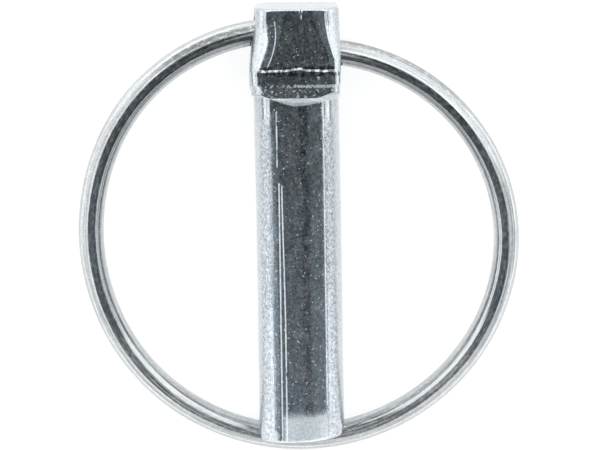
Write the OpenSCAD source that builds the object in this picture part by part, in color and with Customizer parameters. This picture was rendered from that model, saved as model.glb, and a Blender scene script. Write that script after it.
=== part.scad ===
// Lynch pin: a forged pin whose head has a nose on one face, and a sprung wire ring
// whose two ends stand in staggered holes in the sides of the head.
//
// The pin is drawn with its axis along Y, the head's top at y = 0 and the nose on +Z.
// laid() then turns and lifts the whole assembly to the way it lies on a table: on the
// back edge of its head and the far side of its ring, with the nose up.

/* [Shank] */
// Diameter of the shank
pin_d = 11; // [9:0.25:13]
// Usable length, from the underside of the nose to the tip
grip_len = 45; // [36:0.5:60]
// Radius of the fillet under the nose
root_r = 1.2; // [0.6:0.1:1.6]
// Length of the taper that leads the tip in
lead_len = 1.6; // [1.2:0.1:3]
// How much that taper takes off the radius
lead_in = 0.2; // [0.05:0.05:0.5]
// Rounding of the tip's edge
tip_round = 0.4; // [0.2:0.05:0.7]

/* [Head] */
// Height of the head, from its top to the underside of the nose
head_h = 11.2; // [10.2:0.1:13]
// Width of the upper part of the head
head_w = 11; // [10:0.1:13]
// How far the head's back stands proud of the shank
back_proud = 0.1; // [0.06:0.02:0.3]
// Rounding of the head's back corners
corner_r = 1.7; // [1:0.1:2.2]
// Rounding of the head's front corners above the nose
front_r = 4.2; // [2.4:0.1:4.6]
// Rounding of the top's edge
edge_r = 0.5; // [0.2:0.05:0.9]

/* [Nose] */
// How far the nose stands out from the front of the head
nose_out = 2.6; // [1.6:0.1:3.4]
// Width of the head across the nose
nose_w = 11.8; // [11:0.1:13]
// How far the nose sits off the centre line, as forged
nose_shift = -0.15; // [-0.3:0.05:0.3]
// Radius of the scoop that runs out to the nose
scoop_r = 8; // [6:0.1:9]
// Height of the nose, from the ridge at the end of the scoop to the underside
nose_h = 3.3; // [2.6:0.1:4]
// Height of the bevel along the nose's lower edge
bevel_h = 1.1; // [0.6:0.1:1.6]
// How far that bevel goes in
bevel_in = 0.15; // [0.05:0.05:0.5]
// Rounding of the nose's corners
nose_corner_r = 2.3; // [1.4:0.1:3]

/* [Ring] */
// Diameter of the ring's wire
wire_d = 3.3; // [2.6:0.1:3.8]
// Inside diameter of the ring
ring_in_d = 50.4; // [44:0.1:58]
// How far the ring sits off the centre line
ring_shift = 0.1; // [-0.5:0.1:0.5]
// How far the middle of the wire stands past the tip
past_tip = 0.9; // [0.4:0.05:1.2]
// Gap between the wire and the tip where it rests
rest_gap = 0.04; // [0.02:0.01:0.1]
// Sweep of the round part of the ring, from the far side towards the right arm
bend_right = 78; // [60:1:90]
// Sweep of the round part of the ring, from the far side towards the left arm
bend_left = 65; // [55:1:90]

/* [Ring ends] */
// Distance of the swing axis below the head's top
hinge_drop = 4.8; // [4.4:0.1:5.4]
// How much further down the right end enters the head than the left
stagger = 2.75; // [1.5:0.05:3]
// Slope of the wire where it meets the head
end_slope = 8.5; // [6:0.5:12]
// Distance from the side of the head to the elbow inside it
elbow_in = 0.9; // [0.7:0.05:1.1]
// Depth of the holes, along their axis
hole_depth = 4.3; // [3.4:0.1:4.6]
// Clearance round the wire in its holes
hole_gap = 0.06; // [0.02:0.01:0.1]
// Gap between the end of the wire and the floor of its hole
end_gap = 0.3; // [0.1:0.05:0.6]

/* [Hidden] */
$fn = 96;

pin_r = pin_d / 2;
wire_r = wire_d / 2;
pin_len = head_h + grip_len;
face_z = pin_r;                         // front of the upper head, flush with the shank
nose_z = face_z + nose_out;
back_z = -pin_r - back_proud;
ridge_s = head_h - nose_h;              // distances called s run down from the head's top
scoop_end = acos(1 - nose_out / scoop_r);
scoop_s = ridge_s - scoop_r * sin(scoop_end);
bevel_s = head_h - bevel_h;
socket = 2;                             // how far the shank's solid reaches up into the head
slack = 1;                              // how far cutters run past what they cut
wire_lap = 0.2;                         // how far stretches of the wire run into each other
wire_step = 0.01;                       // by how much every second stretch is thinner

// ---- where the ring rests against the tip, and its swing plane ----
tip_wall = pin_r - lead_in;
edge_y = -(pin_len - tip_round);        // centre of the rounded edge that the wire touches
edge_z = -(tip_wall - tip_round);
reach_y = pin_len + past_tip - hinge_drop;
touch = wire_r + tip_round + rest_gap;
reach_z = -edge_z + sqrt(touch ^ 2 - max(0, past_tip + tip_round) ^ 2);
reach = norm([reach_y, reach_z]);       // swing axis to the far side of the ring
closed_angle = atan2(reach_z, reach_y);

// ---- the wire's centre line, in the ring's plane: x to the right, y towards the head ----
ring_r = ring_in_d / 2 + wire_r;
ring_c = [ring_shift, ring_r - reach];
side_r = [head_w / 2, -stagger / 2];
side_l = [-head_w / 2, stagger / 2];
out_r = [cos(end_slope), -sin(end_slope)];    // directions in which the wire leaves the head
out_l = [-cos(end_slope), -sin(end_slope)];
elbow_r = side_r - elbow_in * out_r;
elbow_l = side_l - elbow_in * out_l;
axis_dir = unit(elbow_r - elbow_l);           // both ends of the wire lie on this line
stub_r = elbow_r - elbow_in * axis_dir;
stub_l = elbow_l + elbow_in * axis_dir;
axis_side = head_w / 2 / axis_dir.x;          // along the axis, from the centre to a side
axis_mid = elbow_l - axis_dir * (elbow_l.x / axis_dir.x);
stub_end = axis_side - hole_depth + end_gap;
bend_r = ring_c + ring_r * [sin(bend_right), -cos(bend_right)];
bend_l = ring_c + ring_r * [-sin(bend_left), -cos(bend_left)];
up_r = [cos(bend_right), sin(bend_right)];    // directions of travel at the ends of the bend
up_l = [-cos(bend_left), sin(bend_left)];
knee_r = meeting_point(bend_r, up_r, side_r, -out_r);
knee_l = meeting_point(bend_l, up_l, side_l, -out_l);

// The wire from its right end to its left, each stretch as [start, direction there, end]
stretches = [
    [axis_mid + stub_end * axis_dir, axis_dir, stub_r],
    [stub_r, axis_dir, side_r],
    [side_r, out_r, knee_r],
    [bend_r, up_r, knee_r],
    [bend_l, -up_l, bend_r],
    [bend_l, up_l, knee_l],
    [side_l, out_l, knee_l],
    [stub_l, -axis_dir, side_l],
    [axis_mid - stub_end * axis_dir, -axis_dir, stub_l],
];

// ---- how the assembly lies: head's back edge and far side of the ring on the table ----
far_p = [-(pin_len + past_tip), -reach_z];
heel_p = [-edge_r, back_z + edge_r];
heel_far = heel_p - far_p;
lie_angle = atan2(heel_far.y, heel_far.x) + asin((wire_r - edge_r) / norm(heel_far));
lift = wire_r + far_p.x * sin(lie_angle) - far_p.y * cos(lie_angle);
back_edge = far_p.x * cos(lie_angle) + far_p.y * sin(lie_angle) - wire_r;
top_edge = edge_r - edge_r * cos(lie_angle) + (face_z - edge_r) * sin(lie_angle);
centre_y = (back_edge + top_edge) / 2;
ring_xs = [for (i = [2:6]) each [for (p = arc_points(stretches[i])) p.x]];
centre_x = (max(ring_xs) + min(ring_xs)) / 2;

function unit(v) = v / norm(v);
function turned(v) = [-v.y, v.x];
function smooth(t) = let (u = min(max(t, 0), 1)) u * u * (3 - 2 * u);

// Radius of the arc that leaves p along t and ends at q: positive where it turns left
function arc_radius(p, t, q) = (q - p) * (q - p) / (2 * (q - p) * turned(t));
function arc_sweep(p, t, q) =
    let (chord = q - p) 2 * atan2(abs(chord * turned(t)), chord * t);
function arc_centre(p, t, q) = p + arc_radius(p, t, q) * turned(t);

// Points along one stretch, close enough together to find how far it reaches
function arc_points(stretch, steps = 40) =
    let (p = stretch[0], t = stretch[1], q = stretch[2], c = arc_centre(p, t, q),
         turn = sign(arc_radius(p, t, q)) * arc_sweep(p, t, q), arm = p - c)
    [for (i = [0:steps]) let (a = turn * i / steps)
        c + arm * cos(a) + turned(arm) * sin(a)];

// Where two equal-tangent arcs meet, one leaving p along t, the other arriving at q along u
function meeting_point(p, t, q, u) =
    let (v = q - p, w = v * (t + u), k = 2 * (1 - t * u),
         d = (sqrt(w * w + k * (v * v)) - w) / k)
    (p + q + d * (t - u)) / 2;

// ---- the head, as sections stacked down its height ----
function widen(s) = smooth((s - scoop_s / 2) / (ridge_s - scoop_s / 2))
                    * (1 - 0.6 * smooth((s - bevel_s) / bevel_h));
function half_w(s) = (head_w + (nose_w - head_w) * widen(s)) / 2;
function shift(s) = nose_shift * widen(s);
function front_corner(s) =
    front_r + (nose_corner_r - front_r) * smooth((s - scoop_s) / (ridge_s - scoop_s));

// Each station is [distance down, front face, inset]
edge_stations = [for (a = [0:30:90]) [edge_r * (1 - cos(a)), face_z, edge_r * (1 - sin(a))]];
scoop_steps = 8;
scoop_stations = [for (i = [0:scoop_steps]) let (a = scoop_end * i / scoop_steps)
    [scoop_s + scoop_r * sin(a), face_z + scoop_r * (1 - cos(a)), 0]];
nose_steps = 4;
nose_stations = [for (i = [1:nose_steps])
    [ridge_s + (bevel_s - ridge_s) * i / nose_steps, nose_z, 0]];
bevel_steps = 2;
bevel_stations = [for (i = [1:bevel_steps]) let (t = i / bevel_steps)
    [bevel_s + bevel_h * t, nose_z - bevel_in * t, 0]];
stations = concat(edge_stations, scoop_stations, nose_stations, bevel_stations);

corner_steps = 7;
function corner(x, z, r, a0) = [for (i = [0:corner_steps]) let (a = a0 + 90 * i / corner_steps)
    [x + r * cos(a), z + r * sin(a)]];
function section(st) =
    let (s = st[0], zf = st[1] - st[2], zb = back_z + st[2], w = half_w(s) - st[2],
         x = shift(s), rf = front_corner(s) - st[2], rb = corner_r - st[2])
    [for (p = concat(corner(x + w - rf, zf - rf, rf, 0), corner(x - w + rf, zf - rf, rf, 90),
                     corner(x - w + rb, zb + rb, rb, 180), corner(x + w - rb, zb + rb, rb, 270)))
        [p.x, -s, p.y]];

module head() {
    n = 4 * (corner_steps + 1);
    rows = len(stations);
    skin = [for (j = [0:rows - 2], i = [0:n - 1]) let (a = j * n + i, b = j * n + (i + 1) % n)
        each [[a, b + n, b], [a, a + n, b + n]]];
    top = [for (i = [0:n - 1]) i];
    underside = [for (i = [n - 1:-1:0]) (rows - 1) * n + i];
    polyhedron([for (st = stations) each section(st)], concat(skin, [top, underside]));
}

// Outline of the shank, its tip and the fillet under the nose, as [radius, y]
shank_outline = concat(
    [[0, -head_h + socket], [pin_r + root_r, -head_h + socket]],
    [for (a = [0:11.25:90])
        [pin_r + root_r * (1 - sin(a)), -head_h - root_r * (1 - cos(a))]],
    [[pin_r, -(pin_len - lead_len)]],
    [for (a = [0:22.5:90])
        [-edge_z + tip_round * cos(a), edge_y - tip_round * sin(a)]],
    [[0, -pin_len]]
);

module shank() {
    trim = back_proud / 2;              // the fillet ends just inside the head's own faces
    intersection() {
        rotate([-90, 0, 0]) rotate_extrude() polygon(shank_outline);
        translate([-head_w / 2 - trim, -pin_len - slack, back_z + trim])
            cube([head_w + 2 * trim, pin_len + 2 * slack, pin_d + nose_z]);
    }
}

// The ring's plane, hung from the swing axis and leaning back to the closed position
module ring_plane() {
    translate([0, -hinge_drop, 0]) rotate([closed_angle, 0, 0]) children();
}

// The hole at one side, along the swing axis, with a mouth that clears the elbow as it turns
module hole(side) {
    hole_r = wire_r + hole_gap;
    bend = end_slope + atan2(-axis_dir.y, axis_dir.x);
    mouth = 2 * elbow_in + slack;
    ring_plane() translate(axis_mid)
        rotate([0, 0, atan2(axis_dir.y, axis_dir.x)]) rotate([0, 90 * side, 0]) {
            translate([0, 0, axis_side - hole_depth])
                cylinder(r = hole_r, h = hole_depth + slack);
            translate([0, 0, axis_side - 2 * elbow_in])
                cylinder(r1 = hole_r, r2 = hole_r + mouth * tan(bend), h = mouth);
        }
}

module pin_body() color("silver") laid() difference() {
    union() {
        head();
        shank();
    }
    hole(1);
    hole(-1);
}

// One stretch of wire, run on by lap at both ends: a straight where its end lies dead
// ahead, else part of a torus
module wire(p, t, q, r, lap) {
    if (abs(unit(q - p) * turned(t)) < 1e-6)
        translate(p - lap * t) rotate([0, 0, atan2(t.y, t.x)]) rotate([0, 90, 0])
            cylinder(r = r, h = norm(q - p) + 2 * lap);
    else {
        c = arc_centre(p, t, q);
        bend = abs(arc_radius(p, t, q));
        first = (arc_radius(p, t, q) > 0 ? p : q) - c;
        more = lap / bend * 180 / PI;
        translate(c) rotate([0, 0, atan2(first.y, first.x) - more])
            rotate_extrude(angle = arc_sweep(p, t, q) + 2 * more, $fn = 180)
                translate([bend, 0]) circle(r = r, $fn = 32);
    }
}

// Every second stretch is a hair thinner and runs on inside its neighbours
module ring() color("gainsboro") laid() ring_plane()
    for (i = [0:len(stretches) - 1]) let (s = stretches[i], inner = i % 2 == 1)
        wire(s[0], s[1], s[2], inner ? wire_r - wire_step : wire_r, inner ? wire_lap : 0);

module laid() {
    translate([-centre_x, -centre_y, lift]) rotate([-lie_angle, 0, 0]) children();
}

pin_body();
ring();
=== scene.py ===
import math

import bmesh
import bpy
from mathutils import Matrix, Vector, noise


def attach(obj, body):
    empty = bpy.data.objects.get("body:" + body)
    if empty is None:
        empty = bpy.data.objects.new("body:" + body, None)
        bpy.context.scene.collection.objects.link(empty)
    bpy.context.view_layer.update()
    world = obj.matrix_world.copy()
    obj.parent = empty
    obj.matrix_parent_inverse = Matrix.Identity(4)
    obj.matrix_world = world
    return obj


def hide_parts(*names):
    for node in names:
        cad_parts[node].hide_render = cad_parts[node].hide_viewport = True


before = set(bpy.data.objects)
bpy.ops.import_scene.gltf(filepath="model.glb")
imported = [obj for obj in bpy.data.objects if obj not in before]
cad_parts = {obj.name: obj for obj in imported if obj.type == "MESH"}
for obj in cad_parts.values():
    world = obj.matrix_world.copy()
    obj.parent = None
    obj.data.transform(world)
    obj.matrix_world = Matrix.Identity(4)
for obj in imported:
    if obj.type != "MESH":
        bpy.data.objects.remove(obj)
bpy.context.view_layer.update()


mm = 0.001      # settings are in millimetres and degrees where no other unit is named


# An output of a node. Arithmetic on it adds Math nodes.
class Term:
    def __init__(self, graph, socket):
        self.graph = graph
        self.socket = socket

    def __add__(self, other):
        return self.graph.maths("ADD", self, other)

    def __radd__(self, other):
        return self.graph.maths("ADD", other, self)

    def __sub__(self, other):
        return self.graph.maths("SUBTRACT", self, other)

    def __rsub__(self, other):
        return self.graph.maths("SUBTRACT", other, self)

    def __mul__(self, other):
        return self.graph.maths("MULTIPLY", self, other)

    def __rmul__(self, other):
        return self.graph.maths("MULTIPLY", other, self)

    def __truediv__(self, other):
        return self.graph.maths("DIVIDE", self, other)

    def __rtruediv__(self, other):
        return self.graph.maths("DIVIDE", other, self)


# A node tree, emptied, and the few ways in which its nodes are made.
class Graph:
    def __init__(self, tree):
        self.tree = tree
        tree.nodes.clear()

    def node(self, kind, settings=None, inputs=None, output=0):
        made = self.tree.nodes.new(kind)
        for name, value in (settings or {}).items():
            setattr(made, name, value)
        for name, value in (inputs or {}).items():
            if isinstance(value, Term):
                self.tree.links.new(value.socket, made.inputs[name])
            else:
                made.inputs[name].default_value = value
        return Term(self, made.outputs[output]) if made.outputs else made

    def maths(self, operation, *values):
        return self.node("ShaderNodeMath", {"operation": operation}, dict(enumerate(values)))

    def largest(self, first, *others):
        for other in others:
            first = self.maths("MAXIMUM", first, other)
        return first

    def split(self, vector):
        first = self.node("ShaderNodeSeparateXYZ", None, {0: vector})
        return [Term(self, socket) for socket in first.socket.node.outputs]

    def ease(self, value, low, high):           # from 0 at low to 1 at high, with no corners
        return self.node("ShaderNodeMapRange", {"interpolation_type": "SMOOTHSTEP"},
                         {"Value": value, "From Min": low, "From Max": high})

    def stretch(self, vector, scale):
        return self.node("ShaderNodeMapping", None, {"Vector": vector, "Scale": scale})

    def grain(self, place, scale, size, detail, roughness):
        return self.node("ShaderNodeTexNoise", None,
                         {"Vector": self.stretch(place, scale), "Scale": size,
                          "Detail": detail, "Roughness": roughness})

    def tint(self, colour, amount):
        return self.node("ShaderNodeVectorMath", {"operation": "SCALE"},
                         {0: colour, "Scale": amount})

    def blend(self, factor, first, second):
        return self.node("ShaderNodeMix", {"data_type": "RGBA"},
                         {0: factor, 6: first, 7: second}, 2)

    def within(self, ways, bands):              # where all the bands overlap
        mask = None
        for way, low, high in bands:
            band = self.ease(ways[way], low, high)
            mask = mask * band if mask else band
        return mask

    def weigh(self, shares, layers):            # a plain amount and a share of each layer
        total = shares["plain"]
        for name, share in shares.items():
            if name != "plain":
                total = total + share * layers[name]
        return total

    def vary(self, value, shares, layers):      # brighter or darker by each layer in turn
        for name, share in shares.items():
            value = value * (1 + share * layers[name])
        return value

    def objectPlace(self):
        return self.stretch(self.node("ShaderNodeTexCoord", output="Object"), (1 / mm,) * 3)


def newFinish(name):
    material = bpy.data.materials.new(name)
    material.use_nodes = True
    return material, Graph(material.node_tree)


# The settings of the two pieces that also place them. The pin is drawn with its axis along Y, the
# head's top at y = 0 and the nose on +Z; lengths called s run down from the head's top.
pin = {
    "diameter": 11.0, "gripLength": 45.0, "rootRadius": 1.45,
    "leadLength": 1.6, "leadIn": 0.2,
    "tipRound": 0.4,                            # where the ring rests
    "headHeight": 11.2, "headWidth": 11.0, "backProud": 0.1, "backCorner": 1.7,
    "frontCorner": 4.2, "edgeRadius": 0.5,
    "noseOut": 2.6, "noseWidth": 11.8, "noseShift": -0.15, "scoopRadius": 8.0,
    "noseHeight": 3.3, "bevelHeight": 1.4, "bevelIn": 0.06,
    "noseCornerLeft": 2.9, "noseCornerRight": 1.7,
    "turnLeft": 2.6, "turnRight": 0.2,          # where the front corners begin to sharpen
    "turnRightEnd": 1.0,                        # how far above the ridge the right one is done
    "holeDepth": 4.3, "holeGap": 0.06, "holeFloor": 0.2, "holeAround": 64,
    "sharpEdge": 38,
}
ring = {
    "wire": 3.3, "inside": 50.4, "shift": 0.1, "pastTip": 0.9, "restGap": 0.04,
    "bendRight": 78.0, "bendLeft": 65.0, "drop": 4.8, "stagger": 2.75, "slope": 8.5,
    "elbowIn": 0.9, "endGap": 0.3,
    "spacing": 0.45, "around": 48, "sharpEdge": 38,
}

pinRadius = pin["diameter"] / 2
wireRadius = ring["wire"] / 2
pinLength = pin["headHeight"] + pin["gripLength"]
faceZ = pinRadius
noseZ = faceZ + pin["noseOut"]
backZ = -pinRadius - pin["backProud"]
ridgeS = pin["headHeight"] - pin["noseHeight"]
scoopEnd = math.acos(1 - pin["noseOut"] / pin["scoopRadius"])
scoopS = ridgeS - pin["scoopRadius"] * math.sin(scoopEnd)
bevelS = pin["headHeight"] - pin["bevelHeight"]


def along(degrees):
    return Vector((math.cos(math.radians(degrees)), math.sin(math.radians(degrees))))


def turned(v):
    return Vector((-v.y, v.x))


# Where the ring rests against the tip, and how far its plane leans back for that.
edgeZ = -(pinRadius - pin["leadIn"] - pin["tipRound"])
reachY = pinLength + ring["pastTip"] - ring["drop"]
touch = wireRadius + pin["tipRound"] + ring["restGap"]
reachZ = -edgeZ + math.sqrt(touch ** 2 - (ring["pastTip"] + pin["tipRound"]) ** 2)
reach = math.hypot(reachY, reachZ)
closedAngle = math.atan2(reachZ, reachY)

# The wire's centre line in the ring's own plane: x to the right, y towards the head.
ringRadius = ring["inside"] / 2 + wireRadius
ringCentre = Vector((ring["shift"], ringRadius - reach))
sideRight = Vector((pin["headWidth"] / 2, -ring["stagger"] / 2))
sideLeft = Vector((-pin["headWidth"] / 2, ring["stagger"] / 2))
outRight = along(-ring["slope"])
outLeft = along(180 + ring["slope"])
elbowRight = sideRight - ring["elbowIn"] * outRight
elbowLeft = sideLeft - ring["elbowIn"] * outLeft
axisWay = (elbowRight - elbowLeft).normalized()
axisMid = elbowLeft - axisWay * (elbowLeft.x / axisWay.x)
axisSide = pin["headWidth"] / 2 / axisWay.x
stubEnd = axisSide - pin["holeDepth"] + ring["endGap"]
stubRight = elbowRight - ring["elbowIn"] * axisWay
stubLeft = elbowLeft + ring["elbowIn"] * axisWay
bendRight = ringCentre + ringRadius * along(ring["bendRight"] - 90)
bendLeft = ringCentre + ringRadius * along(-90 - ring["bendLeft"])
upRight = along(ring["bendRight"])
upLeft = along(180 - ring["bendLeft"])

# The assembly lies on the back edge of the head and the far side of the ring.
farPoint = Vector((-(pinLength + ring["pastTip"]), -reachZ))
heelPoint = Vector((-pin["edgeRadius"], backZ + pin["edgeRadius"]))
heelFar = heelPoint - farPoint
lieAngle = math.atan2(heelFar.y, heelFar.x) + math.asin(
    (wireRadius - pin["edgeRadius"]) / heelFar.length)
lift = wireRadius + farPoint.x * math.sin(lieAngle) - farPoint.y * math.cos(lieAngle)


# Where two arcs of equal tangents meet, one leaving p along t, the other reaching q along u.
def meetingPoint(p, t, q, u):
    v = q - p
    w = v.dot(t + u)
    k = 2 * (1 - t.dot(u))
    d = (math.sqrt(w * w + k * v.dot(v)) - w) / k
    return (p + q + d * (t - u)) / 2


kneeRight = meetingPoint(bendRight, upRight, sideRight, -outRight)
kneeLeft = meetingPoint(bendLeft, upLeft, sideLeft, -outLeft)


# Points on the arc that leaves p along t and ends at q.
def arcPoints(p, t, q):
    chord = q - p
    side = chord.dot(turned(t))
    if abs(side) < 1e-9:
        steps = max(2, round(chord.length / ring["spacing"]))
        return [p + chord * (i / steps) for i in range(steps + 1)]
    radius = chord.dot(chord) / (2 * side)
    sweep = 2 * math.atan2(abs(side), chord.dot(t)) * math.copysign(1, radius)
    centre = p + radius * turned(t)
    arm = p - centre
    steps = max(3, round(abs(radius * sweep) / ring["spacing"]))
    return [centre + arm * math.cos(sweep * i / steps) + turned(arm) * math.sin(sweep * i / steps)
            for i in range(steps + 1)]


stretches = [       # from the right end to the left; True where it is drawn backwards
    (axisMid + stubEnd * axisWay, axisWay, stubRight, False),
    (stubRight, axisWay, sideRight, False),
    (sideRight, outRight, kneeRight, False),
    (bendRight, upRight, kneeRight, True),
    (bendLeft, -upLeft, bendRight, True),
    (bendLeft, upLeft, kneeLeft, False),
    (sideLeft, outLeft, kneeLeft, True),
    (stubLeft, -axisWay, sideLeft, True),
    (axisMid - stubEnd * axisWay, -axisWay, stubLeft, True),
]
ringPath = []
for start, way, finish, backward in stretches:
    points = arcPoints(start, way, finish)
    ringPath += (points[::-1] if backward else points)[(1 if ringPath else 0):]

ringXs = [p.x for p in ringPath]
centreX = (max(ringXs) + min(ringXs)) / 2
backEdge = farPoint.x * math.cos(lieAngle) + farPoint.y * math.sin(lieAngle) - wireRadius
topEdge = (pin["edgeRadius"] * (1 - math.cos(lieAngle))
           + (faceZ - pin["edgeRadius"]) * math.sin(lieAngle))
centreY = (backEdge + topEdge) / 2
laid = (Matrix.Scale(mm, 4) @ Matrix.Translation((-centreX, -centreY, lift))
        @ Matrix.Rotation(-lieAngle, 4, "X"))
swingPlane = (laid @ Matrix.Translation((0, -ring["drop"], 0))
              @ Matrix.Rotation(closedAngle, 4, "X"))
print("laid out: pin leans", round(math.degrees(lieAngle), 3), "ring leans",
      round(math.degrees(closedAngle), 3), "centre", round(centreX, 3), round(centreY, 3))

# The plating on the pin, with painted highlights and shade in its colour. A zone is where its
# bands overlap. A band names a direction, where along it the band begins and where it is full. A
# grain is a stretch, a size, a detail and a roughness.
pinFinish = {
    "coldTone": (0.58, 0.67, 0.74, 1), "warmTone": (0.77, 0.79, 0.79, 1),
    "paintedStripTint": (0.71, 0.76, 0.83, 1), "stripShare": 0.7, "middleX": 0.1,
    "grains": {
        "mottle": ((1, 1, 1), 0.5, 4.0, 0.6), "grit": ((1, 1, 1), 5.0, 2.0, 0.6),
        "lines": ((7, 0.16, 7), 1.0, 3.0, 0.6), "specks": ((1, 1, 1), 4.2, 3.0, 0.65),
        "fleck": ((1, 1, 1), 3.2, 3.0, 0.7), "chips": ((1, 1, 1), 2.6, 2.0, 0.6),
        "patchy": ((1.5, 0.6, 0.6), 1.0, 2.0, 0.6), "fade": ((1.2, 0.35, 1.2), 1.0, 3.0, 0.7),
        "coarse": ((1, 1, 1), 2.2, 2.0, 0.6), "veil": ((1.3, 0.6, 1.3), 1.0, 3.0, 0.65),
    },
    "zones": {
        "nose": [("z", 12.0, 12.6), ("y", 22.6, 22.2), ("y", 17.6, 18.0)],
        "noseEdge": [("y", 20.2, 19.9)],
        "scuffed": [("y", 19.8, 19.95), ("y", 20.35, 20.2)],
        "ridge": [("y", 21.2, 21.5), ("y", 22.7, 22.4), ("z", 13.0, 13.4)],
        # the paler crescent at the foot of the nose is a painted highlight
        "paintedCrescentLight": [("facing", -0.02, -0.12), ("y", 15.4, 16.0), ("y", 18.9, 18.6)],
        "grip": [("y", 17.5, 16.5)], "middle": [("sideways", 3.6, 3.2)],
        "flank": [("apart", 2.8, 3.6), ("y", 15.0, 14.0)],
        # the strip zone is the bright band down each flank of the shank, which carries a painted
        # tint, shade and light
        "strip": [("sideways", 3.2, 3.6), ("sideways", 5.1, 4.5), ("y", 16, 14)],
        # the right strip along the flank is darkened as painted shade
        "paintedRightStripShade": [("x", 3.2, 3.6), ("x", 5.0, 4.6), ("y", 16, 14)],
        "lower": [("y", 4, -16)], "front": [("z", 9, 10)], "alongSide": [("facing", -0.8, -0.4)],
        "tipFront": [("x", -2.6, -1.9), ("x", 3.9, 3.2), ("facing", -0.8, -0.4)],
    },
    # painted highlight lines, each with a slight raised bump: across, how they curl and about
    # where, half width, lower and upper end
    "lines": [(-2.66, 0, 0, 0.12, 9.1, 16.6), (-2.46, 0, 0, 0.12, -28.0, 7.3),
              (3.35, 0, 0, 0.11, -22.0, 15.6), (0.72, 0, 0, 0.10, 28.2, 29.0),
              (-2.61, -0.066, 26.6, 0.10, 22.3, 28.2), (3.75, 0.033, 29.4, 0.10, 22.9, 29.2)],
    "slantGlintLine": (-1.87, 0.23, -13, 7, 0.12, -28.0, 7.0),
    "broadGlintLines": [(-3.66, 0, 0, 0.30, -30, -9), (3.74, 0, 0, 0.24, -30, -7)], "broadShare": 0.9,
    "lineEnd": 0.3, "lineSoft": 0.4,
    # where a grain begins to show, and where it shows in full
    "steps": {"specks": (0.56, 0.76), "fleck": (0.3, 0.7), "coarse": (0.38, 0.60),
              "chips": (0.67, 0.72), "scuff": (0.38, 0.56), "dull": (-22.3, -23.6),
              "fade": (0.30, 0.42), "veil": (0.48, 0.62), "paintedRidgeShade": (0.60, 0.46)},
    "roughness": {"plain": 0.03, "mottle": 0.06, "lines": 0.06, "specks": 0.20, "dull": 0.3,
                  "worn": 0.2},
    "height": {"plain": 0, "mottle": 0.004, "grit": 0.0015, "lines": 0.002, "fleck": 0.001,
               "flankFleck": 0.004, "stripFleck": 0.016, "specks": -0.003, "lip": -0.015,
               "worn": 0.01, "paintedGlintLines": 0.008},
    "shade": {"plain": 0.66, "fleck": 0.34, "specks": 0.2},
    # painted shade and light: darker gaps in the ridge's highlight, grainy shade and light on the
    # bright flank strips, a darker right strip and a lighter middle of the shank; the whole head a
    # little darker
    "shadeBy": {"paintedRidgeShade": -0.75, "paintedStripShade": -0.26, "paintedRightStripShade": -0.12, "paintedStripLight": 0.10,
                "paintedMiddleLight": 0.13, "head": -0.09},
    "paler": {"plain": 0, "dull": 0.18, "wearAndPaintedHighlights": 0.3},
    "wearAndPaintedHighlights": {"worn": 0.45, "paintedGlintLines": 0.8, "paintedCrescentLight": 0.65},
    "lessMetal": {"plain": 0, "fleck": 0.08, "veil": 0.06}, "dullOxide": 0.6,
}


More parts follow.
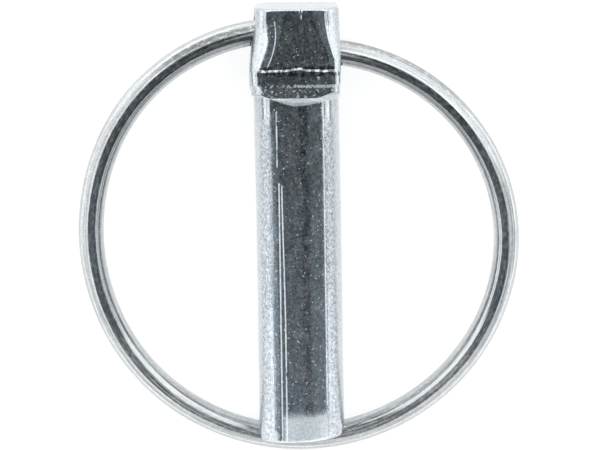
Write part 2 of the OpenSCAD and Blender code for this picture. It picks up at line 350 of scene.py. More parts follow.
def brightZinc():
    material, g = newFinish("bright zinc on forged steel")
    place = g.objectPlace()
    x, y, z = g.split(place)
    facing = g.split(g.node("ShaderNodeTexCoord", output="Normal"))[1]
    ways = {"x": x, "y": y, "z": z, "facing": facing, "apart": g.maths("ABSOLUTE", x),
            "sideways": g.maths("ABSOLUTE", x + pinFinish["middleX"])}
    grains = {name: g.grain(place, *setting) for name, setting in pinFinish["grains"].items()}
    zones = {name: g.within(ways, bands) for name, bands in pinFinish["zones"].items()}

    # paints one pale, less metallic line: a painted highlight
    def paintGlintLine(path, width, low, high):
        return (g.ease(g.maths("ABSOLUTE", x - path), width, pinFinish["lineSoft"] * width)
                * g.ease(y, low, low + pinFinish["lineEnd"])
                * g.ease(y, high, high - pinFinish["lineEnd"]))

    def paintGlintTable(table):
        total = 0
        for across, curl, about, width, low, high in table:
            bend = about - y
            total = total + paintGlintLine(across + curl * bend * bend if curl else across,
                                     width, low, high)
        return total

    steps = pinFinish["steps"]
    mottle, strip = grains["mottle"], zones["strip"]
    lip = zones["noseEdge"] * zones["nose"]
    specks = g.ease(grains["specks"] + 0.06 * lip, *steps["specks"])
    fleck = g.ease(grains["fleck"], *steps["fleck"])
    coarse = g.ease(grains["coarse"], *steps["coarse"])
    chips = g.ease(grains["chips"] + 0.07 * lip + 0.03 * zones["nose"] + 0.02 * zones["lower"],
                   *steps["chips"])
    scuff = (zones["scuffed"] * zones["nose"]
             * g.ease(grains["patchy"] + 0.03 * x + 0.25 * (fleck - 0.5), *steps["scuff"]))
    # the rough dull patch at the tip has a ragged upper edge
    dull = zones["tipFront"] * g.ease(y - 0.04 * x + 1.2 * (mottle - 0.5) + 0.5 * (fleck - 0.5),
                                      *steps["dull"])
    # painted highlight lines along the shank, straight, curled, slanted and broad; the height
    # gives them a slight raised bump
    across, turn, low, high, width, start, finish = pinFinish["slantGlintLine"]
    slanted = paintGlintLine(across - turn * g.ease(y, low, high), width, start, finish)
    paintedGlintLines = ((paintGlintTable(pinFinish["lines"]) + slanted
              + pinFinish["broadShare"] * paintGlintTable(pinFinish["broadGlintLines"]))
             * zones["front"] * g.ease(grains["fade"], *steps["fade"]) * zones["alongSide"])
    worn = g.largest(chips, scuff)
    layers = {
        "mottle": mottle, "grit": grains["grit"], "lines": grains["lines"], "fleck": fleck,
        "specks": specks, "lip": lip, "dull": dull, "worn": worn, "paintedGlintLines": paintedGlintLines,
        "flankFleck": zones["flank"] * fleck, "stripFleck": strip * fleck,
        "veil": g.ease(grains["veil"], *steps["veil"]), "paintedRightStripShade": zones["paintedRightStripShade"],
        # darker patches along the ridge's highlight: painted shade
        "paintedRidgeShade": zones["ridge"] * g.ease(grains["patchy"], *steps["paintedRidgeShade"]),
        # grainy painted shade and light on the bright flank strips
        "paintedStripShade": strip * (1 - coarse), "paintedStripLight": strip * coarse,
        # the middle of the shank is painted lighter; the head is a little darker
        "paintedMiddleLight": zones["grip"] * zones["middle"], "head": 1 - zones["grip"],
    }
    # real wear and painted highlights together, paler and less metallic: the worn chips and
    # scuffs, the pale lines and the crescent
    wearAndHighlightShares = pinFinish["wearAndPaintedHighlights"]
    wearAndPaintedHighlights = g.largest(wearAndHighlightShares["worn"] * worn, wearAndHighlightShares["paintedGlintLines"] * paintedGlintLines,
                      wearAndHighlightShares["paintedCrescentLight"] * zones["paintedCrescentLight"])
    layers["wearAndPaintedHighlights"] = wearAndPaintedHighlights
    shade = g.vary(g.weigh(pinFinish["shade"], layers), pinFinish["shadeBy"], layers)
    # a bluish tint painted onto the bright flank strips, as a painted reflection
    tone = g.blend(pinFinish["stripShare"] * strip,
                   g.blend(mottle, pinFinish["coldTone"], pinFinish["warmTone"]),
                   pinFinish["paintedStripTint"])
    lessMetal = g.weigh(pinFinish["lessMetal"], layers) * (1 - dull) + pinFinish["dullOxide"] * dull
    bump = g.node("ShaderNodeBump", None, {"Strength": 1.0, "Distance": mm,
                                           "Height": g.weigh(pinFinish["height"], layers)})
    shader = g.node("ShaderNodeBsdfPrincipled", None, {
        "Base Color": g.tint(tone, shade + g.weigh(pinFinish["paler"], layers)),
        "Metallic": (1 - lessMetal) * (1 - wearAndPaintedHighlights),
        "Roughness": g.weigh(pinFinish["roughness"], layers),
        "Normal": bump,
    })
    g.node("ShaderNodeOutputMaterial", None, {"Surface": shader})
    return material


# The plating on the wire, with painted highlights and shade in its colour. The way outward is 1 on
# the ring's outer side and -1 on its inner side.
wireFinish = {
    "coldTone": (0.66, 0.70, 0.73, 1), "warmTone": (0.80, 0.80, 0.79, 1),
    "middleY": 1.0, "middleRadius": 26.9,
    "grains": {
        "mottle": ((1, 1, 0.35), 0.9, 4.0, 0.6), "grit": ((1, 1, 1), 5.5, 2.0, 0.6),
        "lines": ((6, 6, 0.12), 1.0, 3.0, 0.6), "spots": ((1, 1, 0.5), 2.9, 2.0, 0.6),
        "patch": ((1, 1, 0.6), 2.2, 4.0, 0.7),
    },
    "zones": {
        # the lower arcs, painted lighter through less metal
        "low": [("y", -10, -22)],
        # a paler band on the outer side of the lower arcs: a painted highlight
        "rim": [("y", -10, -22), ("outward", 0.22, 0.34), ("outward", 0.86, 0.66)],
        # a darker band on the inner half of the upper arcs: a painted dark reflection
        "paintedDarkCore": [("y", 3, 12), ("outward", -0.64, -0.50), ("outward", 0.08, -0.06)],
        # a pale band on the outer half of the right upper arcs: a painted highlight
        "paintedCrestLight": [("y", 3, 12), ("x", 4, 8), ("outward", 0.02, 0.14), ("outward", 0.60, 0.48)],
        # patchy darkening of the wire near the head, on set sides of it
        "darkPatchLeft": [("y", 20.3, 23.2), ("x", 0, -1),
                       ("outward", -0.06, 0.06), ("outward", 0.78, 0.64)],
        "darkPatchRight": [("y", 14, 19), ("x", 0, 1),
                        ("outward", 0.58, 0.72), ("outward", 1.02, 0.94)],
        # pale gleams on the inner side of the lower arcs: painted highlights, paler and less
        # metallic
        "gleamLeft": [("x", -5.5, -9), ("y", -12, -17),
                      ("outward", -0.64, -0.54), ("outward", -0.18, -0.28)],
        "gleamRight": [("x", 10, 14), ("y", -9, -14),
                       ("outward", -0.58, -0.48), ("outward", -0.22, -0.30)],
    },
    "steps": {"grittiness": (0.3, 0.7), "streak": (0.3, 0.7), "spots": (0.44, 0.66),
              "paintedLowStreaks": (0.45, 0.58), "darkPatch": (0.34, 0.52), "gleam": (0.30, 0.40)},
    "darkPatchRightShare": 0.8,
    "roughness": {"plain": 0.03, "mottle": 0.06, "lines": 0.09},
    "height": {"plain": 0, "mottle": 0.004, "grit": 0.005, "lines": 0.006},
    "shade": {"plain": 0.48, "grittiness": 0.16, "streak": 0.3, "spots": 0.12},
    # a painted dark core, and the patches near the head darker
    "shadeBy": {"darkPatch": -0.46, "paintedDarkCore": -0.3},
    # painted highlights: the pale crest, the gleams and the rim
    "paler": {"plain": 0, "paintedCrestLight": 0.26, "gleam": 0.36, "rim": 0.16},
    # less metal, so paler: at random spots, and as painted light on the lower arcs and in streaks
    # there
    "lessMetal": {"plain": 0, "spots": 0.13, "low": 0.12, "paintedLowStreaks": 0.3}, "paintedGleamMatte": 0.85,
}


def drawnWire():
    material, g = newFinish("zinc plated spring wire")
    place = g.node("ShaderNodeAttribute", {"attribute_name": "wirePlace"}, output="Vector")
    x, y = g.split(g.objectPlace())[:2]
    leanX, leanY = g.split(g.node("ShaderNodeTexCoord", output="Normal"))[:2]
    outward = (leanX * x + leanY * (y - wireFinish["middleY"])) / wireFinish["middleRadius"]
    ways = {"x": x, "y": y, "outward": outward}
    grains = {name: g.grain(place, *setting) for name, setting in wireFinish["grains"].items()}
    zones = {name: g.within(ways, bands) for name, bands in wireFinish["zones"].items()}
    steps = wireFinish["steps"]
    lines = grains["lines"]
    darkPatches = zones["darkPatchLeft"] + wireFinish["darkPatchRightShare"] * zones["darkPatchRight"]
    gleams = zones["gleamLeft"] + zones["gleamRight"]
    layers = {
        "mottle": grains["mottle"], "grit": grains["grit"], "lines": lines,
        "grittiness": g.ease(grains["grit"], *steps["grittiness"]),
        "streak": g.ease(lines, *steps["streak"]),
        "spots": g.ease(grains["spots"], *steps["spots"]),
        "low": zones["low"], "paintedLowStreaks": zones["low"] * g.ease(lines, *steps["paintedLowStreaks"]),
        "darkPatch": darkPatches * g.ease(grains["patch"], *steps["darkPatch"]),
        "gleam": gleams * g.ease(lines, *steps["gleam"]),
        "paintedDarkCore": zones["paintedDarkCore"], "paintedCrestLight": zones["paintedCrestLight"], "rim": zones["rim"],
    }
    shade = g.vary(g.weigh(wireFinish["shade"], layers), wireFinish["shadeBy"], layers)
    tone = g.blend(grains["mottle"], wireFinish["coldTone"], wireFinish["warmTone"])
    bump = g.node("ShaderNodeBump", None, {"Strength": 1.0, "Distance": mm,
                                           "Height": g.weigh(wireFinish["height"], layers)})
    shader = g.node("ShaderNodeBsdfPrincipled", None, {
        "Base Color": g.tint(tone, shade + g.weigh(wireFinish["paler"], layers)),
        "Metallic": ((1 - g.weigh(wireFinish["lessMetal"], layers))
                     * (1 - wireFinish["paintedGleamMatte"] * layers["gleam"])),
        "Roughness": g.weigh(wireFinish["roughness"], layers),
        "Normal": bump,
    })
    g.node("ShaderNodeOutputMaterial", None, {"Surface": shader})
    return material


# How the pin's skin is meshed, and where the forging is uneven.
forging = {
    "turns": 384,                               # points round each section
    "topRings": (0.15, 0.35, 0.55, 0.75, 0.9), "noseRings": (0.12, 0.4, 0.7),
    "endRings": (0.85, 0.65, 0.45, 0.25, 0.1),
    "edgeSteps": 8, "neckSteps": 6, "scoopSteps": 36, "kickSteps": 16, "noseSteps": 8,
    "bevelSteps": 5, "rootSteps": 14, "shankSteps": 60, "leadSteps": 4, "tipSteps": 8,
    "wave": 0.035, "waveScale": 0.28, "ripple": 0.012, "rippleScale": 0.9, "nearEnds": 0.25,
    "calmTop": 1.5, "calmTip": 2.5,
    "lean": 0.12, "leanLength": 9.0, "bow": -0.10, "bowAt": 13.0, "bowLength": 9.0,
    "tipRight": 0.7, "tipLeft": 0.3, "tipSlant": 0.035, "slantLength": 4.0,
    "scoopSlope": 28.0, "kick": 54.0,           # slopes of the scoop and of its last bit
    "rootLeft": 0.72, "rootRight": 0.35, "rootTurn": 0.8, "rootShy": 0.03,
    "ridgeBow": 0.20, "ridgeBowAt": 0.35, "ridgeBowWide": 0.8,
    "ridgeArch": 0.12, "ridgeArchWide": 2.6, "ridgeWave": 0.10, "ridgeWaveScale": 1.3,
    "ridgeHalf": 0.9, "ridgeOut": (5.2, 6.4), "slantOut": (-2.5, 1.5),
    "noseCut": 0.7, "noseCutMiddle": -0.4,      # the nose's lower edge runs up at its ends
    "cutAcross": (2.8, 5.4), "cutOut": (4.2, 5.8),
    "cutAbove": (-0.6, 1.0),                    # from the top of the bevel
    "cutBelow": (0.9, 0.1),                     # from the head's underside
    "nickDeep": 0.26, "nickAt": (0.62, 0.3), "nickSize": (0.17, 0.36),
    "dropHigh": 0.5, "dropAt": (0.68, 1.05), "dropSize": (0.12, 0.22),
}


def rise(value, low, high):
    u = min(max((value - low) / (high - low), 0.0), 1.0)
    return u * u * (3 - 2 * u)


def hill(value, middle, width):
    return math.exp(-((value - middle) / width) ** 2)


def quarter(steps):                             # the angles of a rounded edge, in radians
    return [math.radians(90 * i / steps) for i in range(steps + 1)]


def widen(s):
    return (rise(s, scoopS / 2, ridgeS)
            * (1 - 0.6 * rise(s, bevelS, bevelS + pin["bevelHeight"])))


# How far a rounded box reaches from the axis in one direction.
def boxRadius(way, left, right, back, front, leftCorner, rightCorner, backCorner):
    far = min([(right if way.x > 0 else left) / way.x] * (abs(way.x) > 1e-9)
              + [(front if way.y > 0 else back) / way.y] * (abs(way.y) > 1e-9))
    hit = way * far
    radius = backCorner if hit.y < 0 else rightCorner if hit.x > 0 else leftCorner
    centre = Vector((right - radius if hit.x > 0 else left + radius,
                     front - radius if hit.y > 0 else back + radius))
    if abs(hit.x) > abs(centre.x) and abs(hit.y) > abs(centre.y) and radius > 0:
        middle = way.dot(centre)
        spare = radius ** 2 - centre.length_squared + middle ** 2
        far = middle + math.sqrt(max(spare, 0.0))
    return far


def headRadius(way, s, front, inset):
    wide = (pin["headWidth"] + (pin["noseWidth"] - pin["headWidth"]) * widen(s)) / 2 - inset
    off = pin["noseShift"] * widen(s)
    leftTurn = rise(s, pin["turnLeft"], ridgeS)
    rightTurn = rise(s, pin["turnRight"], ridgeS - pin["turnRightEnd"])
    leftCorner, rightCorner = (pin["frontCorner"] * (1 - turn) + pin[name] * turn - inset
                               for turn, name in ((leftTurn, "noseCornerLeft"),
                                                  (rightTurn, "noseCornerRight")))
    return boxRadius(way, off - wide, off + wide, backZ + inset, front - inset,
                     leftCorner, rightCorner, pin["backCorner"] - inset)


# The scoop steepens, runs straight, kicks up at its foot and rolls over onto the nose.
def scoopProfile():
    slope, kick = forging["scoopSlope"], forging["kick"]
    slopes = ((1.2, 0.0), (3.0, 19.0), (4.6, slope - 3), (ridgeS - 0.36, slope),
              (ridgeS - 0.2, kick), (ridgeS - 0.1, kick), (ridgeS + 0.12, 0.0))
    start, finish, fine = slopes[0][0], slopes[-1][0], ridgeS - 0.4
    coarseSteps, fineSteps = forging["scoopSteps"], forging["kickSteps"]
    spots = ([start + (fine - start) * i / coarseSteps for i in range(coarseSteps)]
             + [fine + (finish - fine) * i / fineSteps for i in range(fineSteps + 1)])
    heights = [0.0]
    for low, high in zip(spots, spots[1:]):
        middle = (low + high) / 2
        degrees = next(a0 + (a1 - a0) * rise(middle, s0, s1)
                       for (s0, a0), (s1, a1) in zip(slopes, slopes[1:]) if middle < s1)
        heights.append(heights[-1] + math.tan(math.radians(degrees)) * (high - low))
    return [(s, faceZ + pin["noseOut"] * h / heights[-1]) for s, h in zip(spots, heights)]


# Every row of the skin, from the middle of the top to the middle of the tip.
def pinRows():
    ways = [along(360 * (i + 0.5) / forging["turns"]) for i in range(forging["turns"])]
    rows = []

    def headRow(s, front, inset):
        rows.append([(way * headRadius(way, s, front, inset), s) for way in ways])

    edge = pin["edgeRadius"]
    for part in forging["topRings"]:
        rows.append([(way * headRadius(way, 0, faceZ, edge) * part, 0.0) for way in ways])
    for a in quarter(forging["edgeSteps"]):
        headRow(edge * (1 - math.cos(a)), faceZ, edge * (1 - math.sin(a)))
    scoop = scoopProfile()
    neckSteps, noseSteps, bevelSteps = (forging[name] for name in
                                        ("neckSteps", "noseSteps", "bevelSteps"))
    for i in range(1, neckSteps):
        headRow(edge + (scoop[0][0] - edge) * i / neckSteps, faceZ, 0)
    for s, front in scoop:
        headRow(s, front, 0)
    for i in range(1, noseSteps + 1):
        headRow(ridgeS + (bevelS - ridgeS) * i / noseSteps, noseZ, 0)
    for i in range(1, bevelSteps + 1):
        headRow(bevelS + pin["bevelHeight"] * i / bevelSteps,
                noseZ - pin["bevelIn"] * i / bevelSteps, 0)

    # under the nose the fillet is fullest at the front and thinner at both sides
    rim = [point.length for point, s in rows[-1]]
    root = pin["rootRadius"]
    left, right, turn = (forging[name] for name in ("rootLeft", "rootRight", "rootTurn"))
    roots = [root * (1 - left * rise(math.atan2(-way.x, way.y), 0, turn)
                     - right * rise(math.atan2(way.x, way.y), 0, turn)) for way in ways]
    foot = [min(pinRadius + own, r - forging["rootShy"]) for own, r in zip(roots, rim)]
    for part in forging["noseRings"]:
        rows.append([(way * (r + (f - r) * part), pin["headHeight"])
                     for way, r, f in zip(ways, rim, foot)])
    for a in quarter(forging["rootSteps"]):
        rows.append([(way * min(pinRadius + own * (1 - math.sin(a)), f),
                      pin["headHeight"] + own * (1 - math.cos(a)))
                     for way, own, f in zip(ways, roots, foot)])

    taperStart = pinLength - pin["leadLength"]
    count = forging["shankSteps"]
    for i in range(1, count + 1):
        rows.append([(way * pinRadius, (pin["headHeight"] + own) * (1 - i / count)
                      + taperStart * i / count) for way, own in zip(ways, roots)])
    tipWall = pinRadius - pin["leadIn"]
    rounds = [forging["tipLeft"] + (forging["tipRight"] - forging["tipLeft"])
              * rise(way.x, -1, 1) for way in ways]
    count = forging["leadSteps"]
    for i in range(1, count):
        rows.append([(way * (pinRadius - pin["leadIn"] * i / count),
                      taperStart + (pin["leadLength"] - r) * i / count)
                     for way, r in zip(ways, rounds)])
    for a in quarter(forging["tipSteps"]):
        rows.append([(way * (tipWall - r + r * math.cos(a)), pinLength - r + r * math.sin(a))
                     for way, r in zip(ways, rounds)])
    for part in forging["endRings"]:
        rows.append([(way * (tipWall - r) * part, pinLength) for way, r in zip(ways, rounds)])
    return rows


# A spot on the skin with the small unevenness of a forging added.
def forged(point, s):
    away = point.normalized()
    spot = Vector((point.x, s, point.y))
    wave = (noise.noise(spot * forging["waveScale"]) * forging["wave"]
            + noise.noise(spot * forging["rippleScale"]) * forging["ripple"])
    settle = rise(s, 0, forging["calmTop"]) * rise(s, pinLength, pinLength - forging["calmTip"])
    x, z = point + away * wave * (forging["nearEnds"] + (1 - forging["nearEnds"]) * settle)
    x += (forging["lean"] * (1 - rise(s, 0, forging["leanLength"]))
          + forging["bow"] * hill(s, forging["bowAt"], forging["bowLength"]))

    def dent(name):
        (acrossX, acrossS), (wide, tall) = forging[name + "At"], forging[name + "Size"]
        return hill(x, acrossX, wide) * hill(s, acrossS, tall)

    nick = dent("nick") - forging["dropHigh"] * dent("drop") if z > 0 else 0
    under = (rise(s - bevelS, *forging["cutAbove"])
             * rise(s - pin["headHeight"], *forging["cutBelow"]))
    cut = (forging["noseCut"] * rise(z, *forging["cutOut"])
           * rise(abs(x - forging["noseCutMiddle"]), *forging["cutAcross"]))
    bow = (forging["ridgeBow"] * hill(x, forging["ridgeBowAt"], forging["ridgeBowWide"])
           + forging["ridgeArch"] * hill(x, 0, forging["ridgeArchWide"])
           + forging["ridgeWave"] * noise.noise(Vector((x * forging["ridgeWaveScale"], 4.0, 0.0))))
    near = hill(s, ridgeS, forging["ridgeHalf"]) * rise(z, *forging["ridgeOut"])
    slant = (forging["tipSlant"] * x * rise(s, pinLength - forging["slantLength"], pinLength)
             * rise(z, *forging["slantOut"]))
    return Vector((x, -s + cut * under + bow * near + slant, z - forging["nickDeep"] * nick))


def pinSkin():
    rows = pinRows()
    mesh = bmesh.new()
    grid = [[mesh.verts.new(laid @ forged(point, s)) for point, s in row] for row in rows]
    count = forging["turns"]
    for upper, lower in zip(grid, grid[1:]):
        for i in range(count):
            j = (i + 1) % count
            mesh.faces.new((upper[i], upper[j], lower[j], lower[i]))
    for row, flip in ((grid[0], True), (grid[-1], False)):
        middle = mesh.verts.new(sum((v.co for v in row), Vector()) / count)
        for i in range(count):
            j = (i + 1) % count
            mesh.faces.new((middle, row[j], row[i]) if flip else (middle, row[i], row[j]))
    bmesh.ops.recalc_face_normals(mesh, faces=mesh.faces)
    return mesh


def plainObject(name, mesh):
    data = bpy.data.meshes.new(name)
    mesh.to_mesh(data)
    mesh.free()
    made = bpy.data.objects.new(name, data)
    bpy.context.scene.collection.objects.link(made)
    return made


# A drill with a flared mouth, along the swing axis.
def holeCutter(side):
    radius = wireRadius + pin["holeGap"]
    bend = math.radians(ring["slope"]) + math.atan2(-axisWay.y, axisWay.x)
    deep = axisSide - pin["holeDepth"]
    neck = axisSide - 2 * ring["elbowIn"]
    mouth = 2 * ring["elbowIn"] + 1             # ends 1 mm outside the head
    outline = [(deep, radius - pin["holeFloor"]), (deep + pin["holeFloor"], radius),
               (neck, radius), (neck + mouth, radius + mouth * math.tan(bend))]
    turn = (Matrix.Translation((axisMid.x, axisMid.y, 0))
            @ Matrix.Rotation(math.atan2(axisWay.y, axisWay.x), 4, "Z"))
    mesh = bmesh.new()
    count = pin["holeAround"]
    angles = [2 * math.pi * i / count for i in range(count)]
    loops = [[mesh.verts.new(swingPlane @ turn
                             @ Vector((side * far, r * math.cos(a), r * math.sin(a))))
              for a in angles] for far, r in outline]
    for first, second in zip(loops, loops[1:]):
        for i in range(count):
            j = (i + 1) % count
            mesh.faces.new((first[i], first[j], second[j], second[i]))
    mesh.faces.new(loops[0])
    mesh.faces.new(loops[-1])
    bmesh.ops.recalc_face_normals(mesh, faces=mesh.faces)
    return plainObject("drill", mesh)


# The evaluated object as a plain mesh of its own, with one finish.
def finished(made, name, finish, sharpEdge):
    bpy.context.view_layer.update()
    depsgraph = bpy.context.evaluated_depsgraph_get()
    data = bpy.data.meshes.new_from_object(made.evaluated_get(depsgraph),
                                           preserve_all_data_layers=True, depsgraph=depsgraph)
    made.modifiers.clear()
    old = made.data
    made.data = data
    data.name = name
    made.name = name
    bpy.data.meshes.remove(old)
    data.materials.clear()
    data.materials.append(finish)
    data.shade_smooth()
    data.set_sharp_from_angle(angle=math.radians(sharpEdge))
    print(name, "made:", len(data.polygons), "faces")
    return made


def buildPin():
    made = plainObject("pinSkin", pinSkin())
    drills = [holeCutter(1), holeCutter(-1)]
    for drill in drills:
        cut = made.modifiers.new("drilled", "BOOLEAN")
        cut.operation = "DIFFERENCE"
        cut.solver = "EXACT"
        cut.object = drill
    finished(made, "pinBody", brightZinc(), pin["sharpEdge"])
    for drill in drills:
        data = drill.data
        bpy.data.objects.remove(drill)
        bpy.data.meshes.remove(data)
    return made


# Sweeps a round wire along the edges of a mesh. The attribute wirePlace holds the place round
# the wire and along it, in millimetres, for the finish.
def sweepTree():
    tree = bpy.data.node_groups.new("wire swept along its path", "GeometryNodeTree")
    for name, kind in (("Geometry", "Geometry"), ("wire radius", "Float"),
                       ("points around", "Int"), ("finish", "Material")):
        tree.interface.new_socket(name, in_out="INPUT", socket_type="NodeSocket" + kind)
    tree.interface.new_socket("Geometry", in_out="OUTPUT", socket_type="NodeSocketGeometry")
    g = Graph(tree)

    def given(name):
        return g.node("NodeGroupInput", output=name)

    def store(shape, name, kind, value):
        return g.node("GeometryNodeStoreNamedAttribute", {"data_type": kind, "domain": "POINT"},
                      {"Geometry": shape, "Name": name, "Value": value})

    def stored(name, kind):
        return g.node("GeometryNodeInputNamedAttribute", {"data_type": kind}, {"Name": name})

    path = g.node("GeometryNodeMeshToCurve", None, {"Mesh": given("Geometry")})
    length = g.node("GeometryNodeSplineParameter", output="Length")
    circle = g.node("GeometryNodeCurvePrimitiveCircle", {"mode": "RADIUS"},
                    {"Resolution": given("points around"), "Radius": given("wire radius")})
    swept = g.node("GeometryNodeCurveToMesh", None, {
        "Curve": store(path, "wireAlong", "FLOAT", length),
        "Profile Curve": store(circle, "wireAround", "FLOAT_VECTOR",
                               g.node("GeometryNodeInputPosition")),
        "Fill Caps": True,
    })
    around = g.split(stored("wireAround", "FLOAT_VECTOR"))
    place = g.node("ShaderNodeCombineXYZ", None,
                   {0: around[0], 1: around[1], 2: stored("wireAlong", "FLOAT")})
    placed = store(swept, "wirePlace", "FLOAT_VECTOR", g.tint(place, 1 / mm))
    real = g.node("GeometryNodeRealizeInstances", None, {"Geometry": placed})
    coated = g.node("GeometryNodeSetMaterial", None,
                    {"Geometry": real, "Material": given("finish")})
    g.node("NodeGroupOutput", None, {"Geometry": coated})
    return tree


def buildRing():
    mesh = bmesh.new()
    points = [mesh.verts.new(swingPlane @ Vector((p.x, p.y, 0))) for p in ringPath]
    for first, second in zip(points, points[1:]):
        mesh.edges.new((first, second))
    made = plainObject("ringPath", mesh)
    tree = sweepTree()
    finish = drawnWire()
    sweep = made.modifiers.new("swept wire", "NODES")
    sweep.node_group = tree
    values = {"wire radius": wireRadius * mm, "points around": ring["around"], "finish": finish}
    for item in tree.interface.items_tree:
        if item.in_out == "INPUT" and item.name in values:
            sweep[item.identifier] = values[item.name]
    return finished(made, "springRing", finish, ring["sharpEdge"])


pinBody = buildPin()
springRing = buildRing()

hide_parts("pin_body")
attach(pinBody, "pin")
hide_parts("ring")
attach(springRing, "ring")

# The floor, the panels over it and the light. Panels are seen only in the metal.
floorSheet = {"size": 3000.0, "height": -0.02, "grey": 0.5, "roughness": 0.9,
              "paintedShadowGlow": 0.64, "farGlow": 1.15, "nearEdge": 30, "farEdge": 60}
panel = {
    "left": -600.0, "right": 470.0, "tip": -150.0, "lean": 0.073, "head": 480.0, "steps": 40,
    "cardHeight": 155.0, "glowHeight": 150.0,
}
card = {
    "tone": (0.82, 0.96, 1.08),
    "light": {"plain": 0.052, "near": 0.075, "nearer": 0.03, "tip": -0.05, "darkBand": -0.05,
              "right": 0.035, "farLeft": 0.2, "upperSides": 0.08},
    "zones": {
        "near": [("slanted", 20, -30), ("y", -150, -110)],
        "nearer": [("slanted", 20, -30), ("y", -150, -110), ("y", -15, -55)],
        "tip": [("y", -100, -150)], "darkBand": [("x", 14, 28), ("x", 88, 74)],
        "right": [("x", 80, 110)], "farLeft": [("slanted", 20, -30), ("x", -240, -300)],
        "upperSides": [("y", 0, 40), ("apart", 25, 60)],
    },
}
glow = {            # lights the wire alone, and its hole lets the dark card show in the wire
    "tone": (0.98, 0.995, 1.0), "strength": 1.3, "shoulder": 0.02, "notchShare": 0.9,
    "holeX": -10.0, "holeY": -55.0, "holeWide": 108.0, "holeUp": 135.0, "holeDown": 95.0,
    "lightBy": {"far": -0.25, "side": -0.35, "arc": -0.7},
    "zones": {
        "edge": [("away", 0.96, 1.04)], "far": [("away", 1.3, 1.8)],
        "arc": [("away", 1.62, 1.66), ("away", 1.78, 1.74)],
        "notch": [("y", -16, -6), ("y", 62, 46), ("apart", 17, 9)],
        "side": [("x", 40, 100), ("y", 20, 0)], "shoulder": [("y", -70, -30)],
    },
}
sky = {
    "tone": (0.98, 0.995, 1.0),
    "light": {"plain": 0.80, "left": 0.6, "right": 0.6, "high": 0.75, "gap": -1.1},
    "zones": {
        "left": [("side", -88, -85), ("side", -74, -76)],
        "right": [("side", 71, 73), ("side", 90, 88)],
        "gap": [("side", 78, 79), ("side", 83.5, 82.5)], "high": [("y", 0.25, 0.5)],
    },
}
lamp = {"size": 1.6, "energy": 1.6, "place": (0, 0.1, 1.2)}         # in metres


def stageSheet(name, outline, height, material):
    mesh = bmesh.new()
    mesh.faces.new([mesh.verts.new((x * mm, y * mm, height * mm)) for x, y in outline])
    made = plainObject(name, mesh)
    made.data.materials.append(material)
    return made


# The near edge runs back towards both sides, so that it shows as a straight line across the pin.
def panelOutline():
    left, right, steps = panel["left"], panel["right"], panel["steps"]
    xs = [left + (right - left) * i / steps for i in range(steps + 1)]
    near = [(x, panel["tip"] - panel["lean"] * math.hypot(panel["cardHeight"], x)) for x in xs]
    return near + [(right, panel["head"]), (left, panel["head"])]


def paleFloor():
    material, g = newFinish("pale studio floor")
    away = g.node("ShaderNodeVectorMath", {"operation": "LENGTH"}, {0: g.objectPlace()}, "Value")
    # the floor glows dimmer near the middle of the stage, round the object: a painted shadow
    light = (floorSheet["paintedShadowGlow"] + (floorSheet["farGlow"] - floorSheet["paintedShadowGlow"])
             * g.ease(away, floorSheet["nearEdge"], floorSheet["farEdge"]))
    shader = g.node("ShaderNodeBsdfPrincipled", None, {
        "Base Color": (floorSheet["grey"],) * 3 + (1,), "Roughness": floorSheet["roughness"],
        "Emission Color": g.tint((1, 1, 1), light), "Emission Strength": 1.0,
    })
    g.node("ShaderNodeOutputMaterial", None, {"Surface": shader})
    return material


def shining(g, tone, light):                    # gives off light and throws none back
    return g.node("ShaderNodeBsdfPrincipled", None, {
        "Base Color": (0, 0, 0, 1), "Specular IOR Level": 0.0, "Roughness": 1.0,
        "Emission Color": g.tint(tone, light), "Emission Strength": 1.0,
    })


def dimCard():
    material, g = newFinish("dim card")
    x, y = g.split(g.objectPlace())[:2]
    apart = g.maths("ABSOLUTE", x)
    ways = {"x": x, "y": y, "apart": apart, "slanted": y + panel["lean"] * apart}
    zones = {name: g.within(ways, bands) for name, bands in card["zones"].items()}
    shader = shining(g, card["tone"], g.weigh(card["light"], zones))
    g.node("ShaderNodeOutputMaterial", None, {"Surface": shader})
    return material


def softGlow():
    material, g = newFinish("soft glow")
    x, y = g.split(g.objectPlace())[:2]
    wide = (x - glow["holeX"]) / glow["holeWide"]
    tall = g.largest((y - glow["holeY"]) / glow["holeUp"], (glow["holeY"] - y) / glow["holeDown"])
    ways = {"x": x, "y": y, "apart": g.maths("ABSOLUTE", x),
            "away": g.maths("SQRT", wide * wide + tall * tall)}
    zones = {name: g.within(ways, bands) for name, bands in glow["zones"].items()}
    sheet = g.largest(zones["edge"], glow["notchShare"] * zones["notch"])
    light = glow["strength"] * (g.vary(sheet, glow["lightBy"], zones)
                                + glow["shoulder"] * zones["shoulder"])
    both = g.node("ShaderNodeAddShader", None, {0: g.node("ShaderNodeBsdfTransparent"),
                                                1: shining(g, glow["tone"], light)})
    g.node("ShaderNodeOutputMaterial", None, {"Surface": both})
    return material


def studioSky():
    world = bpy.data.worlds.new("studio")
    bpy.context.scene.world = world
    world.use_nodes = True
    g = Graph(world.node_tree)
    x, y, z = g.split(g.node("ShaderNodeTexCoord", output="Generated"))
    ways = {"y": y, "side": g.maths("ARCTAN2", x, z) * math.degrees(1)}
    zones = {name: g.within(ways, bands) for name, bands in sky["zones"].items()}
    background = g.node("ShaderNodeBackground", None, {
        "Color": g.tint(sky["tone"], g.weigh(sky["light"], zones)), "Strength": 1.0})
    g.node("ShaderNodeOutputWorld", None, {"Surface": background})


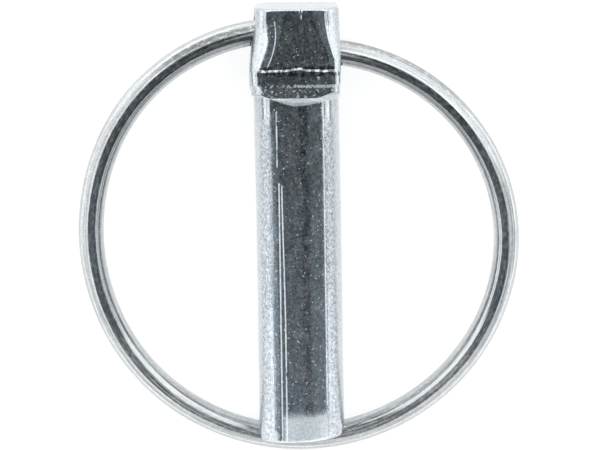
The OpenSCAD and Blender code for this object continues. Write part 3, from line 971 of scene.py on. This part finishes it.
half = floorSheet["size"] / 2
stageSheet("floor", [(-half, -half), (half, -half), (half, half), (-half, half)],
           floorSheet["height"], paleFloor())
cardSheet = stageSheet("dim card", panelOutline(), panel["cardHeight"], dimCard())
glowSheet = stageSheet("soft glow", panelOutline(), panel["glowHeight"], softGlow())
ringLight = bpy.data.collections.new("lit by the glow")
ringLight.objects.link(springRing)
glowSheet.light_linking.receiver_collection = ringLight
for sheet in (cardSheet, glowSheet):
    sheet.visible_camera = False
    sheet.visible_diffuse = False
    sheet.visible_shadow = False
studioSky()

light = bpy.data.lights.new("overhead", "AREA")
light.shape = "RECTANGLE"
light.size = lamp["size"]
light.size_y = lamp["size"]
light.energy = lamp["energy"]
overhead = bpy.data.objects.new("overhead", light)
overhead.location = lamp["place"]
overhead.visible_glossy = False
bpy.context.scene.collection.objects.link(overhead)
print("stage set")

# Looks down on the pin, square to its axis but for the tilt. Away is in metres, scale is pixels
# to the millimetre, and middle is the pixel that the aim falls on.
cameraView = {"away": 1.0, "tilt": 6.8, "roll": -0.85, "aim": (0, -28.5, 0), "scale": 7.73,
              "middle": (298.9, 225.0), "width": 600, "height": 450, "sensor": 36.0}


def placeCamera():
    tilt = math.radians(cameraView["tilt"])
    roll = math.radians(cameraView["roll"])
    back = Vector((0, math.sin(tilt), math.cos(tilt)))
    up = Vector((0, math.cos(tilt), -math.sin(tilt)))
    right = Vector((1, 0, 0))
    right, up = (math.cos(roll) * right + math.sin(roll) * up,
                 -math.sin(roll) * right + math.cos(roll) * up)
    turn = laid.to_3x3().normalized()
    camera = bpy.data.cameras.new("camera")
    eye = bpy.data.objects.new("camera", camera)
    bpy.context.scene.collection.objects.link(eye)
    spot = laid @ Vector(cameraView["aim"]) + turn @ back * cameraView["away"]
    axes = Matrix((turn @ right, turn @ up, turn @ back)).transposed()
    eye.matrix_world = Matrix.Translation(spot) @ axes.to_4x4()
    width, height = cameraView["width"], cameraView["height"]
    middleX, middleY = cameraView["middle"]
    camera.sensor_width = cameraView["sensor"]
    camera.lens = cameraView["sensor"] * cameraView["away"] / (width / cameraView["scale"] * mm)
    camera.shift_x = (width / 2 - middleX) / width
    camera.shift_y = (middleY - height / 2) / width
    camera.clip_start = 0.01
    camera.clip_end = 20
    bpy.context.scene.camera = eye


placeCamera()
print("camera placed")
bpy.context.scene.view_settings.view_transform = "Standard"
